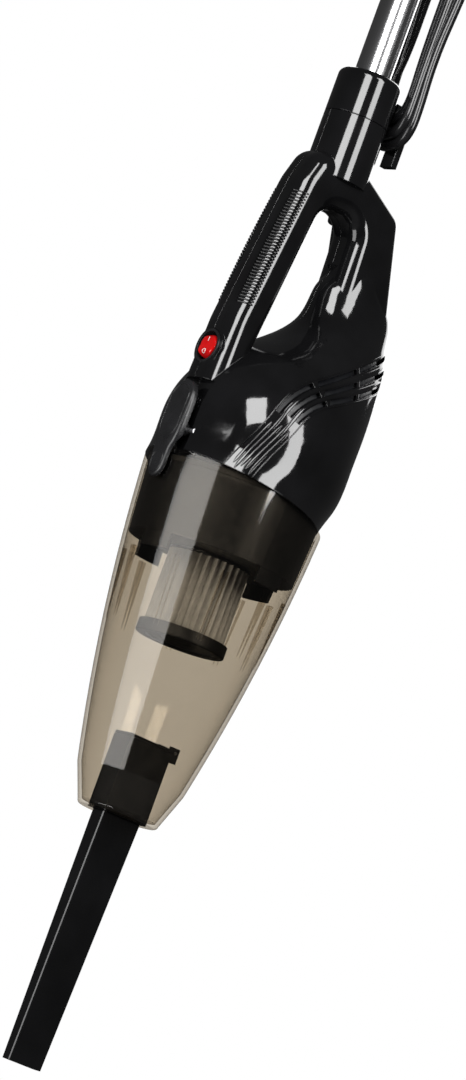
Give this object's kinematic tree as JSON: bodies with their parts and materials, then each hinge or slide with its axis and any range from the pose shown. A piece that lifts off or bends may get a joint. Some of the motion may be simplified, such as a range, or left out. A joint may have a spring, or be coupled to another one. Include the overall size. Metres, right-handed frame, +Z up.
{
  "type": "corded stick vacuum cleaner",
  "caption": "Corded stick vacuum: hand-held body with D-grip, clear dust cup, pleated filter and crevice tool, on a chrome rod with cord hooks and hanging loop.",
  "frame": {"origin": "middle of the hanging hole at the top of the stick, on the rod's axis", "axes": "+Z up along the rod, -Y towards the front (switch and latch), +X to the right-hand side seen from behind the grip's palm side"},
  "size_m": [0.117, 0.1253, 1.196],
  "materials": {
    "gloss_black": "glossy moulded ABS",
    "satin_black": "fine satin texture",
    "inner_black": "moulded, satin",
    "smoke_clear": "smoky brown transparent polycarbonate",
    "filter_paper": "pleated filter paper",
    "chrome": "polished plated steel tube",
    "red_gloss": "glossy translucent red",
    "cord_rubber": "smooth black cord jacket",
    "seal_rubber": "soft black rubber",
    "steel": "bright zinc plated",
    "aluminium": "pressed aluminium",
    "copper": "enamelled copper",
    "nickel": "nickel-plated brass",
    "carbon": "pressed carbon",
    "foam": "open-cell foam"
  },
  "bodies": {
    "root": {"housing_right": "gloss_black", "housing_left": "gloss_black", "housing_screws": "steel", "filter_holder": "inner_black", "holder_gasket": "seal_rubber", "fan_cover": "aluminium", "motor_bracket_lower": "aluminium", "motor_bracket_upper": "steel", "bearing_lower": "steel", "bearing_upper": "steel", "stator_core": "steel", "field_windings": "copper", "carbon_brushes": "carbon", "brush_holders": "inner_black", "motor_mount_ring": "seal_rubber", "exhaust_foam": "foam", "internal_wires": "cord_rubber", "inner_cable": "cord_rubber", "cord_gland": "satin_black", "cord_lead": "cord_rubber", "cord_hank": "cord_rubber", "cord_tail": "cord_rubber", "plug_body": "satin_black", "plug_pins": "nickel", "rod_socket": "gloss_black", "rod_tube": "chrome", "top_handle": "gloss_black", "handle_screw": "steel", "hang_cap": "gloss_black", "switch_body": "satin_black", "switch_terminals": "copper", "latch_pin": "steel", "latch_spring": "steel"},
    "rocker": {"switch_rocker": "red_gloss"},
    "latch": {"latch_lever": "satin_black"},
    "cup": {"dust_cup": "smoke_clear", "inlet_duct": "inner_black", "flap_pin": "steel"},
    "flap": {"inlet_flap": "inner_black"},
    "crevice": {"crevice_tool": "gloss_black"},
    "cartridge": {"filter_pleats": "filter_paper", "filter_core": "inner_black", "filter_collar": "inner_black", "filter_end_cap": "inner_black"},
    "rotor": {"motor_shaft": "steel", "impeller": "aluminium", "armature": "steel", "commutator": "copper"}
  },
  "joints": [
    {"name": "power_rocker", "type": "hinge", "parent": "root", "child": "rocker", "pos_m": [0, -0.0375, -0.759], "axis": [1, 0, 0], "range_deg": [0, 16]},
    {"name": "cup_release", "type": "hinge", "parent": "root", "child": "latch", "pos_m": [0, -0.0431, -0.811], "axis": [-1, 0, 0], "range_deg": [0, 8], "stiffness_Nm_per_rad": 0.6, "springref_deg": -14.32, "deforming": ["latch_spring"]},
    {"name": "cup_lift_off", "type": "slide", "parent": "root", "child": "cup", "axis": [0, 0, -1], "range_m": [0, 0.12]},
    {"name": "inlet_flap_swing", "type": "hinge", "parent": "cup", "child": "flap", "pos_m": [0, 0.0283, -0.9838], "axis": [-1, 0, 0], "range_deg": [0, 70]},
    {"name": "tool_pull_off", "type": "slide", "parent": "cup", "child": "crevice", "axis": [0, 0, -1], "range_m": [0, 0.04]},
    {"name": "cartridge_pull_off", "type": "slide", "parent": "root", "child": "cartridge", "axis": [0, 0, -1], "range_m": [0, 0.015]},
    {"name": "motor_spin", "type": "hinge", "parent": "root", "child": "rotor", "pos_m": [0, 0.0095, -0.78], "axis": [0, 0, 1], "continuous": true}
  ]
}
